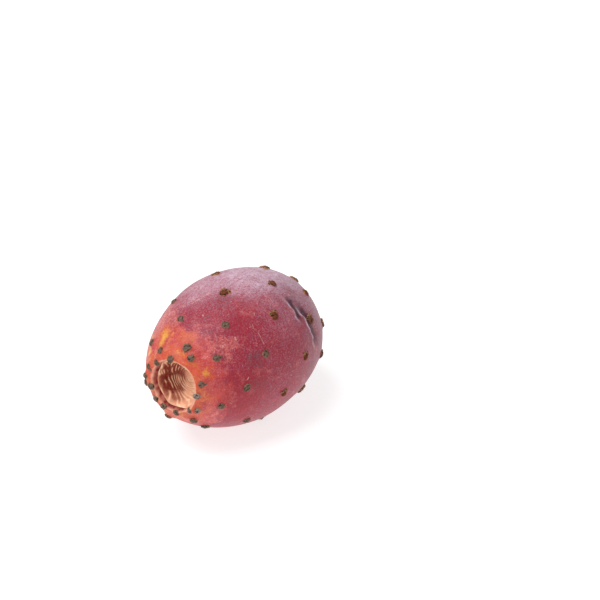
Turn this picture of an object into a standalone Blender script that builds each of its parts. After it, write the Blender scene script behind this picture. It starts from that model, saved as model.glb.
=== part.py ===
"""A ripe prickly pear fruit, whole and as picked, lying on its side.

Sizes are in metres and +Z is up. The long axis lies along Y: the crater where the
flower sat is at the -Y end and tips up a little, and the scar of the cut is at the
+Y end. The origin is on the surface that the fruit lies on, under its middle.
A place on the skin is given by its distance along the axis from the fruit's middle,
positive towards the crater, and by its turn around the axis from the top, positive
towards +X.
"""

import random
from math import atan2, cos, exp, hypot, pi, radians, sin, sqrt, tanh

import bmesh
import bpy
import numpy as np
from mathutils import Matrix, Vector, noise

# The body: an egg with its narrow end at the crater and a fuller underside
HALF_LENGTH = 0.0407
GREATEST_RADIUS = 0.0284
FULLNESS = 1.9
NARROWING = 0.08
BELLY = 0.06
UNEVEN_HEIGHT = 0.0005
UNEVEN_WIDTH = 0.019

# How it lies: the middle of the axis, the crater's rise and the flat rest spot
MIDDLE = Vector((-0.0005, -0.0001, 0.0280))
CRATER_RISE = radians(4.8)
ALONG_AXIS = Vector((0.0, -cos(CRATER_RISE), sin(CRATER_RISE)))
UP_AXIS = Vector((0.0, sin(CRATER_RISE), cos(CRATER_RISE)))
SIDE_AXIS = Vector((1.0, 0.0, 0.0))

# The skin's mesh, and the short steps that its outward directions are read over
RINGS = 42
COLUMNS = 46
MERGE_DISTANCE = 0.000001
STEP_ARC = 0.0004
STEP_AROUND = radians(0.6)
SHARP_ANGLE = radians(35)
SKIN_COLOUR = (0.42, 0.09, 0.12, 1.0)
SKIN_ROUGHNESS = 0.5

# The crater: lip, groove, thin ridge, wall and floor, as (radius, along)
CRATER = (
    (0.0107, 0.0368),
    (0.0097, 0.0370),
    (0.0089, 0.0361),
    (0.0084, 0.0365),
    (0.0078, 0.0348),
    (0.0070, 0.0327),
    (0.0055, 0.0310),
    (0.0030, 0.0302),
    (0.0, 0.0300),
)
LIP_ALONG = 0.0363
LIP_TOP_ALONG = 0.0370

# How far the crater lies to the side and up from the axis, which makes the lip broad on
# one side, and the radii between which the skin goes over to that
CRATER_ASIDE = 0.0012
CRATER_RAISED = 0.00035
CRATER_SHIFT_FROM = 0.0116
CRATER_SHIFT_FULL = 0.0098

# The scar of the cut: a shallow dish, as (radius, along)
SCAR = (
    (0.0, -0.0390),
    (0.0036, -0.0391),
    (0.0050, -0.0399),
)
SCAR_EDGE_ALONG = -0.0398

# The areoles on and near the lip, as the arc down the skin from the lip's edge, which is
# negative on the lip's top, and the turn in degrees
LIP_AREOLES = (
    (-0.0016, -47),
    (-0.0016, -7),
    (-0.0020, 93),
    (-0.0012, 134),
    (-0.0020, 172),
    (-0.0020, -158),
    (-0.0015, -138),
    (-0.0015, -110),
    (-0.0007, -90),
    (-0.0004, -71),
    (0.0012, -29),
    (0.0024, 29),
    (0.0011, 72),
    (0.0006, 122),
    (0.0036, 147),
    (0.0052, -165),
    (0.0056, -112),
    (0.0068, -52),
    (0.0043, 15),
    (0.0097, 48),
    (0.0088, 108),
    (0.0113, 154),
)

# The other areoles: whorls of three, closing up towards the lip and towards the scar. They
# lean, so that they lie nearer the crater on the upper side, and crowd to one side.
FIRST_WHORL = 6
WHORLS = 18
AREOLES_IN_WHORL = 3
FIRST_TURN = radians(-64.6)
WHORL_TURN = radians(46.73)
WHORL_STEP = 0.00623
LIP_CROWDING = 3.57
SCAR_CROWDING = 0.00045
SCAR_CROWDING_FROM = 13
WHORL_LEAN = 0.0028
WHORL_LEAN_TURN = radians(162)
WHORL_LEAN_REACH = 0.012
SIDE_SWAY = radians(9.75)
SIDE_SWAY_TURN = radians(-131)
AREOLE_STRAY = 0.0002
AREOLE_TURN_STRAY = radians(0.7)
ARC_SAMPLES = 2000
MOUND_HEIGHT = 0.00025
LIP_MOUND_HEIGHT = 0.0010
LIP_MOUND_REACH = 0.006
MOUND_RADIUS = 0.0028

# A tuft: a low cushion with short three-sided bristles
CUSHION_RADIUS = 0.00135
CUSHION_FLATTENING = 0.6
BRISTLES = 4
BRISTLE_RADIUS = 0.00026
BRISTLE_TIP_RADIUS = 0.00006
BRISTLE_LENGTH = 0.0013
BRISTLE_ROOT = 0.0007
BRISTLE_RING = 0.00075
BRISTLE_LEAN = radians(26)
BRISTLE_TURN_STRAY = radians(17)
LEAN_DRAW = (0.4, 1.3)
LENGTH_DRAW = (0.8, 1.15)
RING_DRAW = (0.6, 1.1)

# The two creases near the scar end: where the sharp edge lies along and around, how far
# it reaches around, how deep the hollow beyond it is, how fast that hollow deepens and
# how far the edge slants along for each radian around
CREASES = (
    (-0.0128, radians(63), radians(17), 0.0013, 0.0022, -0.0035),
    (-0.0081, radians(46), radians(10), 0.0007, 0.0018, 0.0),
)
CREASE_EDGE_RISE = 0.0002
CREASE_EDGE_WIDTH = 0.6

SEED = 7


def clear_scene():
    for item in list(bpy.data.objects):
        bpy.data.objects.remove(item)


def skin_radius(along):
    """The radius of the plain turned body at a distance along the axis."""
    share = along / HALF_LENGTH
    return GREATEST_RADIUS * sqrt(max(0.0, 1 - abs(share) ** FULLNESS)) * (1 - NARROWING * share)


def crease_depth(along, around):
    """How far the creases move the skin outwards at a place; negative is inwards."""
    moved = 0.0
    for edge, middle, reach, depth, width, slant in CREASES:
        fade = exp(-(((around - middle) / reach) ** 4))
        past = (edge + slant * (around - middle) - along) / width
        if past > 0:
            moved -= depth * fade * past * exp(1 - past)
        moved += CREASE_EDGE_RISE * fade * exp(-((past / CREASE_EDGE_WIDTH) ** 2))
    return moved


def place(radius, along, around):
    """The point in space of a place on the turned body, before its areole mounds."""
    down = max(0.0, -cos(around))
    wide = radius * (1 + BELLY * down**2 * along / HALF_LENGTH)
    outwards = UP_AXIS * cos(around) + SIDE_AXIS * sin(around)
    point = MIDDLE + ALONG_AXIS * along + outwards * wide
    lump = UNEVEN_HEIGHT * noise.noise(point / UNEVEN_WIDTH)
    share = min(1.0, radius / GREATEST_RADIUS)
    point += outwards * share * (lump + crease_depth(along, around))
    if along > 0:
        shift = (CRATER_SHIFT_FROM - radius) / (CRATER_SHIFT_FROM - CRATER_SHIFT_FULL)
        shift = min(1.0, max(0.0, shift))
        point += (SIDE_AXIS * CRATER_ASIDE + UP_AXIS * CRATER_RAISED) * shift
    return point


def areole_line():
    """The line that areoles stand on, from the lip's top down the skin: arcs, radii, alongs."""
    alongs = np.linspace(LIP_ALONG, SCAR_EDGE_ALONG, ARC_SAMPLES)
    radii = [skin_radius(along) for along in alongs]
    lip_edge, lip_top = CRATER[:2]
    radii = np.concatenate([[lip_top[0], lip_edge[0]], radii])
    alongs = np.concatenate([[lip_top[1], lip_edge[1]], alongs])
    arcs = np.concatenate([[0.0], np.cumsum(np.hypot(np.diff(alongs), np.diff(radii)))])
    return arcs - arcs[2], radii, alongs


def place_on_line(line, arc, around):
    """The point of a place on the areoles' line, and its distance along the axis."""
    arcs, radii, alongs = line
    along = float(np.interp(arc, arcs, alongs))
    return place(float(np.interp(arc, arcs, radii)), along, around), along


def areole_places():
    """The (arc, around) of every areole, from the lip to the scar."""
    draw = random.Random(SEED)
    places = [(arc, radians(turn)) for arc, turn in LIP_AREOLES]
    for whorl in range(FIRST_WHORL, WHORLS):
        arc = WHORL_STEP * (whorl - LIP_CROWDING * tanh(whorl / LIP_CROWDING))
        arc -= SCAR_CROWDING * max(0, whorl - SCAR_CROWDING_FROM) ** 2
        for number in range(AREOLES_IN_WHORL):
            around = FIRST_TURN + WHORL_TURN * whorl + 2 * pi * number / AREOLES_IN_WHORL
            lean = WHORL_LEAN * cos(around - WHORL_LEAN_TURN) * tanh(arc / WHORL_LEAN_REACH)
            own_arc = arc + lean + draw.uniform(-1, 1) * AREOLE_STRAY
            around += SIDE_SWAY * sin(around - SIDE_SWAY_TURN)
            around += draw.uniform(-1, 1) * AREOLE_TURN_STRAY
            places.append((own_arc, atan2(sin(around), cos(around))))
    return places


def outward(line, arc, around):
    """The direction straight out of the skin at a place on the areoles' line."""
    ahead = place_on_line(line, arc - STEP_ARC, around)[0]
    behind = place_on_line(line, arc + STEP_ARC, around)[0]
    aside = place_on_line(line, arc, around + STEP_AROUND)[0]
    aside = aside - place_on_line(line, arc, around)[0]
    return (ahead - behind).cross(aside).normalized()


def mounds(places):
    """Where each areole's mound stands: its middle, its direction and its height."""
    found = []
    line = areole_line()
    for arc, around in places:
        point, along = place_on_line(line, arc, around)
        out = outward(line, arc, around)
        near_lip = exp(-(((LIP_TOP_ALONG - along) / LIP_MOUND_REACH) ** 2))
        found.append((point, out, MOUND_HEIGHT + (LIP_MOUND_HEIGHT - MOUND_HEIGHT) * near_lip))
    return found


def raise_mounds(point, found):
    """The point moved outwards by the areole mounds that it is on."""
    moved = point.copy()
    for middle, out, height in found:
        distance = (point - middle).length
        if distance < 3 * MOUND_RADIUS:
            moved += out * height * exp(-((distance / MOUND_RADIUS) ** 2))
    return moved


def turned_outline():
    """The outline from the scar's middle over the skin to the crater's floor."""
    outline = list(SCAR)
    start = np.arccos(-SCAR_EDGE_ALONG / HALF_LENGTH)
    end = np.arccos(-LIP_ALONG / HALF_LENGTH)
    for angle in np.linspace(start, end, RINGS):
        along = -HALF_LENGTH * cos(angle)
        outline.append((skin_radius(along), along))
    outline.extend(CRATER)
    return outline


def add_object(name, work):
    mesh = bpy.data.meshes.new(name)
    work.to_mesh(mesh)
    work.free()
    made = bpy.data.objects.new(name, mesh)
    bpy.context.scene.collection.objects.link(made)
    return made


def make_body(found):
    """The skin with its crater, scar, creases and mounds, as one closed shape."""
    work = bmesh.new()
    line = [work.verts.new((0.0, radius, along)) for radius, along in turned_outline()]
    edges = [work.edges.new(pair) for pair in zip(line, line[1:])]
    bmesh.ops.spin(
        work,
        geom=line + edges,
        cent=(0, 0, 0),
        axis=(0, 0, 1),
        angle=2 * pi,
        steps=COLUMNS,
        use_merge=True,
    )
    bmesh.ops.remove_doubles(work, verts=work.verts, dist=MERGE_DISTANCE)
    for vert in work.verts:
        across, up, along = vert.co
        flat = place(hypot(across, up), along, atan2(across, up))
        vert.co = raise_mounds(flat, found)
    bmesh.ops.recalc_face_normals(work, faces=work.faces)
    bmesh.ops.triangulate(work, faces=work.faces)
    return add_object("fruit", work)


def upright(direction):
    """The turn that brings +Z to a direction."""
    return direction.to_track_quat("Z", "Y").to_matrix().to_4x4()


def make_tufts(found):
    """The cushion and bristles of every areole, as closed shapes in one collection."""
    tufts = bpy.data.collections.new("tufts")
    bpy.context.scene.collection.children.link(tufts)
    draw = random.Random(SEED)
    for number, (middle, out, height) in enumerate(found):
        stand = Matrix.Translation(middle + out * height) @ upright(out)
        work = bmesh.new()
        squash = Matrix.Diagonal((1.0, 1.0, CUSHION_FLATTENING, 1.0))
        bmesh.ops.create_icosphere(
            work, subdivisions=1, radius=CUSHION_RADIUS, matrix=stand @ squash
        )
        move_to(tufts, add_object(f"cushion_{number}", work))
        for bristle in range(BRISTLES):
            turn = 2 * pi * bristle / BRISTLES + draw.uniform(-1, 1) * BRISTLE_TURN_STRAY
            lean = BRISTLE_LEAN * draw.uniform(*LEAN_DRAW)
            length = BRISTLE_LENGTH * draw.uniform(*LENGTH_DRAW)
            ring = BRISTLE_RING * draw.uniform(*RING_DRAW)
            tilt = Matrix.Rotation(turn, 4, "Z") @ Matrix.Translation((ring, 0, 0))
            tilt = tilt @ Matrix.Rotation(lean, 4, "Y")
            lift = Matrix.Translation((0, 0, (length - BRISTLE_ROOT) / 2))
            work = bmesh.new()
            bmesh.ops.create_cone(
                work,
                cap_ends=True,
                cap_tris=True,
                segments=3,
                radius1=BRISTLE_RADIUS,
                radius2=BRISTLE_TIP_RADIUS,
                depth=length + BRISTLE_ROOT,
                matrix=stand @ tilt @ lift,
            )
            move_to(tufts, add_object(f"bristle_{number}_{bristle}", work))
    return tufts


def move_to(collection, item):
    bpy.context.scene.collection.objects.unlink(item)
    collection.objects.link(item)


def apply_modifiers(item):
    graph = bpy.context.evaluated_depsgraph_get()
    mesh = bpy.data.meshes.new_from_object(item.evaluated_get(graph))
    item.modifiers.clear()
    item.data = mesh
    mesh.name = item.name


def fuse_tufts(body, tufts):
    join = body.modifiers.new("tufts", "BOOLEAN")
    join.operation = "UNION"
    join.operand_type = "COLLECTION"
    join.collection = tufts
    apply_modifiers(body)
    for item in list(tufts.objects):
        bpy.data.objects.remove(item)
    bpy.data.collections.remove(tufts)


def cut_rest_spot(body):
    """Takes off what lies below the surface, which leaves the small flat rest spot."""
    side = 4 * HALF_LENGTH
    work = bmesh.new()
    bmesh.ops.create_cube(work, size=side, matrix=Matrix.Translation((0, 0, -side / 2)))
    ground = add_object("ground", work)
    cut = body.modifiers.new("rest_spot", "BOOLEAN")
    cut.operation = "DIFFERENCE"
    cut.object = ground
    apply_modifiers(body)
    bpy.data.objects.remove(ground)


def skin_material():
    made = bpy.data.materials.new("skin")
    made.use_nodes = True
    finish = made.node_tree.nodes["Principled BSDF"]
    finish.inputs["Base Color"].default_value = SKIN_COLOUR
    finish.inputs["Roughness"].default_value = SKIN_ROUGHNESS
    finish.inputs["Metallic"].default_value = 0.0
    return made


def main():
    clear_scene()
    found = mounds(areole_places())
    body = make_body(found)
    fuse_tufts(body, make_tufts(found))
    cut_rest_spot(body)
    body.data.materials.clear()
    body.data.materials.append(skin_material())
    body.data.shade_smooth()
    body.data.set_sharp_from_angle(angle=SHARP_ANGLE)


main()
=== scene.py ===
"""The looks of a ripe prickly pear fruit lying on its side.

Sizes are in metres and +Z is up. A place on the skin is given by its distance along
the fruit's axis from its middle, positive towards the crater, and by its turn around
the axis from the top, positive towards +X.
"""

import random
from collections import namedtuple
from math import cos, pi, radians, sin

import bmesh
import bpy
import numpy as np
from bpy.props import FloatProperty, FloatVectorProperty, IntProperty, PointerProperty
from mathutils import Matrix, Vector, noise


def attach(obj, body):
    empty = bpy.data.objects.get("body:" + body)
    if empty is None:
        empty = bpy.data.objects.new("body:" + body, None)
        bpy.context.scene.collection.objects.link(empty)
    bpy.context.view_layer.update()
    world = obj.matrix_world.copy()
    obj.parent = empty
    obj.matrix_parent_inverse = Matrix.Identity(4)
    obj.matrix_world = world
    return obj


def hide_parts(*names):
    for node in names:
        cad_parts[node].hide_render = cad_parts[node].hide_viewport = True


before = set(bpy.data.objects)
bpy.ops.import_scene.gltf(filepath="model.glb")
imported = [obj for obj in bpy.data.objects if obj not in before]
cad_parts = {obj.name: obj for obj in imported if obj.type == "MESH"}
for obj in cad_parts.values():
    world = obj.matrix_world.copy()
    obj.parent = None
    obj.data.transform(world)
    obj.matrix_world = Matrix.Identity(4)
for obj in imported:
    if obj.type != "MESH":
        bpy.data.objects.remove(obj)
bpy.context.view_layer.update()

bl_info = {
    "name": "Prickly Pear Fruit",
    "version": (1, 0, 0),
    "blender": (4, 5, 0),
    "location": "3D View > Sidebar > Prickly Pear",
    "description": "Skin, crater, areoles and bristles of a ripe prickly pear fruit",
    "category": "Object",
}

MM = 0.001


def in_mm(*rows):
    """Rows of sizes given in millimetres, in metres."""
    return tuple(tuple(size * MM for size in row) for row in rows)


# The turned body, as it is in the solid
FULLNESS = 1.9
BELLY = 0.06
UNEVEN_HEIGHT = 0.5 * MM
UNEVEN_WIDTH = 19 * MM
MIDDLE = Vector((-0.0005, -0.0001, 0.0280))
LIP_ALONG = 36.3 * MM
LIP_TOP_ALONG = 37.0 * MM
SCAR_EDGE_ALONG = -39.8 * MM

# The skin's side of the crater from the lip to its floor, as (radius, along) in mm
CRATER = in_mm(
    (10.7, 36.75),
    (9.85, 37.0),
    (9.25, 36.8),
    (8.85, 36.0),
    (8.65, 35.65),
    (8.3, 35.4),
    (7.8, 34.5),
    (7.0, 32.4),
    (5.5, 30.75),
    (3.0, 30.0),
    (0.0, 29.8),
)
LIP_TOP_RADIUS = 9.85 * MM

# How far the crater lies to the side and up from the axis, and the radii between which
# the skin goes over to that, as in the solid
CRATER_ASIDE = 1.2 * MM
CRATER_RAISED = 0.35 * MM
CRATER_SHIFT_FROM = 11.6 * MM
CRATER_SHIFT_FULL = 9.8 * MM

# The waves and finer wrinkles of the lip: where they rise, along and outwards, and how
# wide they are from side to side and up and down
LIP_WAVES_ALONG = (28 * MM, 35.5 * MM)
LIP_WAVES_RADIUS = (5 * MM, 8.5 * MM)
LIP_WRINKLES_RADIUS = (9.2 * MM, 10.2 * MM)
LIP_WAVE_HEIGHT = 0.5 * MM
LIP_WAVE_WIDTHS = (4.5 * MM, 4 * MM)
LIP_WRINKLE_WIDTHS = (1.7 * MM, 2.2 * MM)

# The dry lining of the crater, from its rim over the fibres to the middle and back
# under, as (radius, along) in mm
LINING_TOP = in_mm(
    (8.75, 35.75),
    (8.6, 36.1),
    (8.35, 36.5),
    (8.1, 36.1),
    (7.8, 34.9),
    (7.0, 32.7),
    (5.5, 31.0),
    (3.0, 30.2),
    (0.0, 30.0),
)
LINING_UNDER = in_mm(
    (0.0, 29.5),
    (3.0, 29.7),
    (5.6, 30.5),
    (7.2, 32.1),
    (8.0, 34.2),
    (8.55, 35.3),
    (8.75, 35.75),
)
MOUTH_ALONG = 40 * MM

# The fibre ridges: the middle of their rings, how far these stray, the distances between
# them as shares of the usual one, and where they rise inwards from the rim
FIBRE_MIDDLE = (2.0 * MM, 0.8 * MM)
FIBRE_STRAY = 0.6
FIBRE_LAYER_WIDTHS = (1.0, 0.7)
FIBRE_EDGE = (0.4 * MM, 1.2 * MM)

# The sides where the groove inside the lip is open and where the lining gets painted shade
# (the side that faces away from the key light), the radii where that painted shade, the flare over the
# closed groove, the dry rim and the groove set in
GROOVE_TURN = radians(-130)
SHADED_SIDE_TURN = radians(-85)
PAINTED_SHADE_RADIUS = (8.4 * MM, 7.6 * MM)
FLARE = 0.85 * MM
FLARE_RISE = 0.4
FLARE_RADIUS = (7.4 * MM, 8.6 * MM)
RIM_RADIUS = (10.1 * MM, 9.7 * MM)
GROOVE_RADIUS = (9.7 * MM, 9.1 * MM)

# The scar of the cut in the skin, and the dry pad on it, as (radius, along) in mm
SCAR = in_mm(
    (0.0, -39.0),
    (2.0, -38.95),
    (3.6, -39.1),
    (4.5, -39.6),
    (5.0, -39.9),
)
SCAR_PAD_TOP = in_mm(
    (0.0, -39.3),
    (2.0, -39.25),
    (3.4, -39.35),
    (4.1, -39.6),
    (4.45, -39.4),
)
SCAR_PAD_UNDER = in_mm(
    (4.45, -39.4),
    (3.4, -38.7),
    (0.0, -38.5),
)
SCAR_PAD_MIDDLE = -39.0 * MM
SCAR_RING_WIDTH = 0.9 * MM
SCAR_RING_HEIGHT = 0.03 * MM
SCAR_CRUST_HEIGHT = 0.16 * MM

# How finely the meshes are cut
SKIN_RINGS = 205
CRATER_STEPS = 6
SCAR_STEPS = 3
SKIN_COLUMNS = 336
LINING_STEPS = 12
SCAR_PAD_STEPS = 8
UNDER_STEPS = 2
LINING_COLUMNS = 320
SCAR_COLUMNS = 128
CUSHION_CUTS = 4
SMALL_CUSHION_CUTS = 3
MERGE_DISTANCE = 0.0001 * MM
ARC_SAMPLES = 2000

# The areoles on and near the lip, as the arc down the skin from the lip's edge in mm,
# which is negative on the lip's top, and the turn in degrees, as in the solid
LIP_AREOLES = (
    (-1.6, -47),
    (-1.6, -7),
    (-2.0, 93),
    (-1.2, 134),
    (-2.0, 172),
    (-2.0, -158),
    (-1.5, -138),
    (-1.5, -110),
    (-0.7, -90),
    (-0.4, -71),
    (1.2, -29),
    (2.4, 29),
    (1.1, 72),
    (0.6, 122),
    (3.6, 147),
    (5.2, -165),
    (5.6, -112),
    (6.8, -52),
    (4.3, 15),
    (9.7, 48),
    (8.8, 108),
    (11.3, 154),
)

# The other areoles' whorls, as in the solid
FIRST_WHORL = 6
FIRST_TURN = radians(-64.6)
WHORL_TURN = radians(46.73)
LIP_CROWDING = 3.57
SCAR_CROWDING = 0.45 * MM
SCAR_CROWDING_FROM = 13
WHORL_LEAN = 2.8 * MM
WHORL_LEAN_TURN = radians(162)
WHORL_LEAN_REACH = 12 * MM
SIDE_SWAY = radians(9.75)
SIDE_SWAY_TURN = radians(-131)
AREOLE_STRAY = 0.2 * MM
AREOLE_TURN_STRAY = radians(0.7)

# The mounds, collars and pits at the areoles, and the redder halos round them
MOUND_HEIGHT = 0.25 * MM
LIP_MOUND_HEIGHT = 1.0 * MM
LIP_MOUND_REACH = 6 * MM
MOUND_RADIUS = 2.8 * MM
MOUND_END = (8.9 * MM, 9.8 * MM)
COLLAR_HEIGHT = 0.14 * MM
COLLAR_RADIUS = 1.35 * MM
COLLAR_WIDTH = 0.4 * MM
PIT_DEPTH = 0.22 * MM
PIT_RADIUS = 0.9 * MM
HALO_RADIUS = 1.9 * MM

# The felt cushions, which of them differ, and the heights, as shares of their size, and
# widths of their lumps
CUSHION_SINK = 0.12 * MM
RUST_END = 9 * MM
TUFTED_AREOLES = (9, 12, 19, 23)
DEAD_AREOLES = (2, 13)
BROAD_AREOLE = 31
BROAD_SHARE = 1.2
LIP_SHARE = 0.86
SMALL_SHARE = 0.7
LUMPS = ((0.26, 0.75 * MM), (0.2, 0.32 * MM))
LUMPS_SHIFT = 0.01

# The bristles, which lean out most at the edge of a cushion
BRISTLE_LEAN = radians(62)
BRISTLE_LEAN_STRAY = radians(14)
BRISTLE_SINK = 0.1 * MM
GOLDEN_TURN = radians(137.508)

# The creases: edge along, middle around, reach around, depth and width of the hollow,
# and how far the edge slants along for each radian around
CREASES = (
    (-12.8 * MM, radians(63), radians(17), 1.3 * MM, 2.2 * MM, -3.5 * MM),
    (-8.1 * MM, radians(46), radians(10), 0.7 * MM, 1.8 * MM, 0.0),
)
CREASE_EDGE_RISE = 0.2 * MM
CREASE_EDGE_WIDTH = 0.6

# How far the creases' edges wander here, where the solid's are smooth, and how quickly
CREASE_WANDERS = ((0.3 * MM, 24), (0.22 * MM, 43))

# Pale scratches and dots on the skin: from and to as along in mm and turn in degrees,
# half width in mm and strength
SCRATCHES = (
    (18.1, -15, 11.1, -7, 0.34, 0.6),
    (2.3, 22, 4.4, 37, 0.3, 0.3),
    (12.1, 48, 12.0, 58, 0.22, 0.55),
    (8.7, 33, 9.2, 35, 0.2, 0.5),
    (12.2, 40, 12.8, 44, 0.2, 0.3),
    (24.5, 88, 23.8, 92, 0.2, 0.5),
    (21.4, 79, 22.0, 81, 0.25, 0.7),
    (28.2, 102, 26.7, 106, 0.2, 0.5),
    (20.5, 41, 20.7, 43, 0.42, 0.8),
    (21.8, 4, 22.0, 5, 0.4, 0.6),
    (11.3, 14, 11.5, 14, 0.25, 0.7),
    (25.5, 41, 25.7, 42, 0.25, 0.6),
    (-12.3, 34, -12.6, 35, 0.45, 0.5),
    (-9.0, 12, -9.4, 14, 0.4, 0.35),
)

# Soft patches of the skin: along in mm, turn in degrees, reach in mm, reach in degrees
# and strength
PATCHES = {
    "orange": (
        (31.5, -30, 4.5, 14, 1.0),
        (30.5, -12, 3.0, 14, 0.35),
        (31.5, 4, 2.6, 10, 0.9),
        (33.6, 20, 2.0, 9, 0.6),
        (29, -61, 6, 15, 1.0),
        (33.6, 63, 2.6, 14, 1.0),
        (34.5, 98, 2.6, 12, 0.9),
        (33.5, 135, 3, 24, 0.5),
        (34, -108, 4, 40, 0.95),
        (33, 178, 4, 30, 0.7),
    ),
    "yellow": (
        (32.5, -28, 2.8, 12, 0.7),
        (30.8, -27, 1.8, 9, 0.4),
        (31, -12, 1.6, 8, 0.25),
        (34.2, 16, 1.6, 7, 0.5),
        (34.0, 61, 1.6, 9, 0.75),
        (27.6, -60, 3, 8, 0.5),
        (33.5, -62, 2.4, 10, 0.8),
        (35.5, -106, 2.6, 22, 0.9),
        (35, -160, 2.4, 16, 0.5),
        (35, 100, 1.4, 7, 0.6),
    ),
    "crimson": (
        (31, 22, 4, 12, 0.6),
        (16, 34, 6, 16, 0.6),
        (8, 25, 7, 10, 0.75),
        (22, 90, 9, 26, 0.95),
        (28, 92, 4.5, 14, 1.0),
        (24, 118, 7, 16, 0.8),
        (-2, 66, 8, 14, 0.4),
        (4, -150, 20, 40, 0.6),
    ),
    "salmon": (
        (25, -44, 10, 22, 1.0),
        (27, -24, 4, 14, 0.5),
        (27, 22, 6, 24, 0.35),
        (25, 44, 5, 12, 0.4),
        (31, 131, 4, 24, 0.6),
        (26, -88, 8, 26, 0.7),
        (24, 46, 6, 12, 0.35),
        (16, 168, 14, 26, 0.6),
    ),
    "bloom": (
        (-6, -2, 20, 42, 1.0),
        (-21, 4, 16, 34, 1.0),
        (9, -24, 10, 18, 0.5),
        (-22, 42, 8, 20, 0.2),
        (-26, 50, 10, 60, 0.35),
        (15, -22, 8, 16, 0.4),
        (0, 53, 8, 12, 0.3),
        (-4, -74, 22, 40, 0.5),
        (-10, -150, 18, 40, 0.35),
    ),
    "dusk": (
        (14, 7, 5, 10, 0.6),
        (10, 8, 4, 8, 0.4),
        (-15, 33, 4, 8, 0.6),
        (-6, 38, 4, 7, 0.4),
        (24, 2, 3, 6, 0.3),
        (17, 66, 4, 8, 0.95),
        (7, 58, 5, 8, 0.4),
        (19, 90, 8, 12, 0.4),
        (-9, -60, 6, 14, 0.4),
        (14, -120, 7, 12, 0.5),
    ),
}

# Shares that rise along the skin, from one place in mm to another
STRETCHES = {
    "warm": (23, 33.5),
    "near_lip": (31, 37),
    "lip": (34, 36.4),
    "mauve": (6, -24),
}

# How gently the underside goes over to the flat spot that the fruit rests on
FLOOR_SOFTNESS = 0.12 * MM
FLOOR_HALF_SIDE = 2.0
FLOOR_GLOW = 0.72
SKY_STRENGTH = 0.33
WHITE = (1.0, 1.0, 1.0)

# The lights: name, azimuth and elevation in degrees, distance and size in metres, watts
LIGHTS = (
    ("key", -30, 66, 0.9, 0.6, 6.8),
    ("fill", 100, 40, 1.1, 0.8, 0.6),
)

SEED = 7


def linear(value):
    """A colour's value as read off a screen, 0 to 255, in the linear scale of a shader."""
    share = value / 255
    return share / 12.92 if share <= 0.04045 else ((share + 0.055) / 1.055) ** 2.4


def length(name, description, default):
    return FloatProperty(name=name, description=description, default=default, unit="LENGTH")


def colour(name, description, *screen):
    """A colour setting with its default given as red, green and blue on a screen."""
    default = [linear(value) for value in screen]
    return FloatVectorProperty(
        name=name, description=description, default=default, subtype="COLOR", min=0, max=1
    )


class FruitShape(bpy.types.PropertyGroup):
    half_length: length("Half Length", "Half the length of the fruit's axis", 40.7 * MM)
    greatest_radius: length("Greatest Radius", "Radius at the widest place", 28.4 * MM)
    narrowing: FloatProperty(
        name="Narrowing", description="How much narrower the crater end is", default=0.08
    )
    crater_rise: FloatProperty(
        name="Crater Rise",
        description="How far the crater end tips up",
        default=radians(4.8),
        subtype="ANGLE",
    )
    ripple_height: length("Ripple Height", "Height of the fibre ridges in the crater", 0.42 * MM)
    ripple_width: length("Ripple Width", "Distance between the fibre ridges", 1.0 * MM)
    lip_wrinkle: length("Lip Wrinkle", "Depth of the wrinkles round the lip", 0.32 * MM)


class FruitAreoles(bpy.types.PropertyGroup):
    whorls: IntProperty(name="Whorls", description="Rings of areoles", default=18)
    in_whorl: IntProperty(name="Areoles in Whorl", description="Areoles in a ring", default=3)
    whorl_step: length("Whorl Step", "Distance from ring to ring", 6.23 * MM)
    cushion_radius: length("Cushion Radius", "Radius of an areole's felt cushion", 1.52 * MM)
    cushion_height: length("Cushion Height", "How far a cushion stands proud", 0.85 * MM)
    side_tufts: FloatProperty(
        name="Side Tufts", description="Share of the areoles with a small tuft beside", default=0.2
    )
    bristles: IntProperty(name="Bristles", description="Bristles in an areole", default=90)
    bristle_length: length("Bristle Length", "Length of the longest bristles", 0.88 * MM)
    bristle_radius: length("Bristle Radius", "Radius of a bristle at its root", 0.05 * MM)


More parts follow.
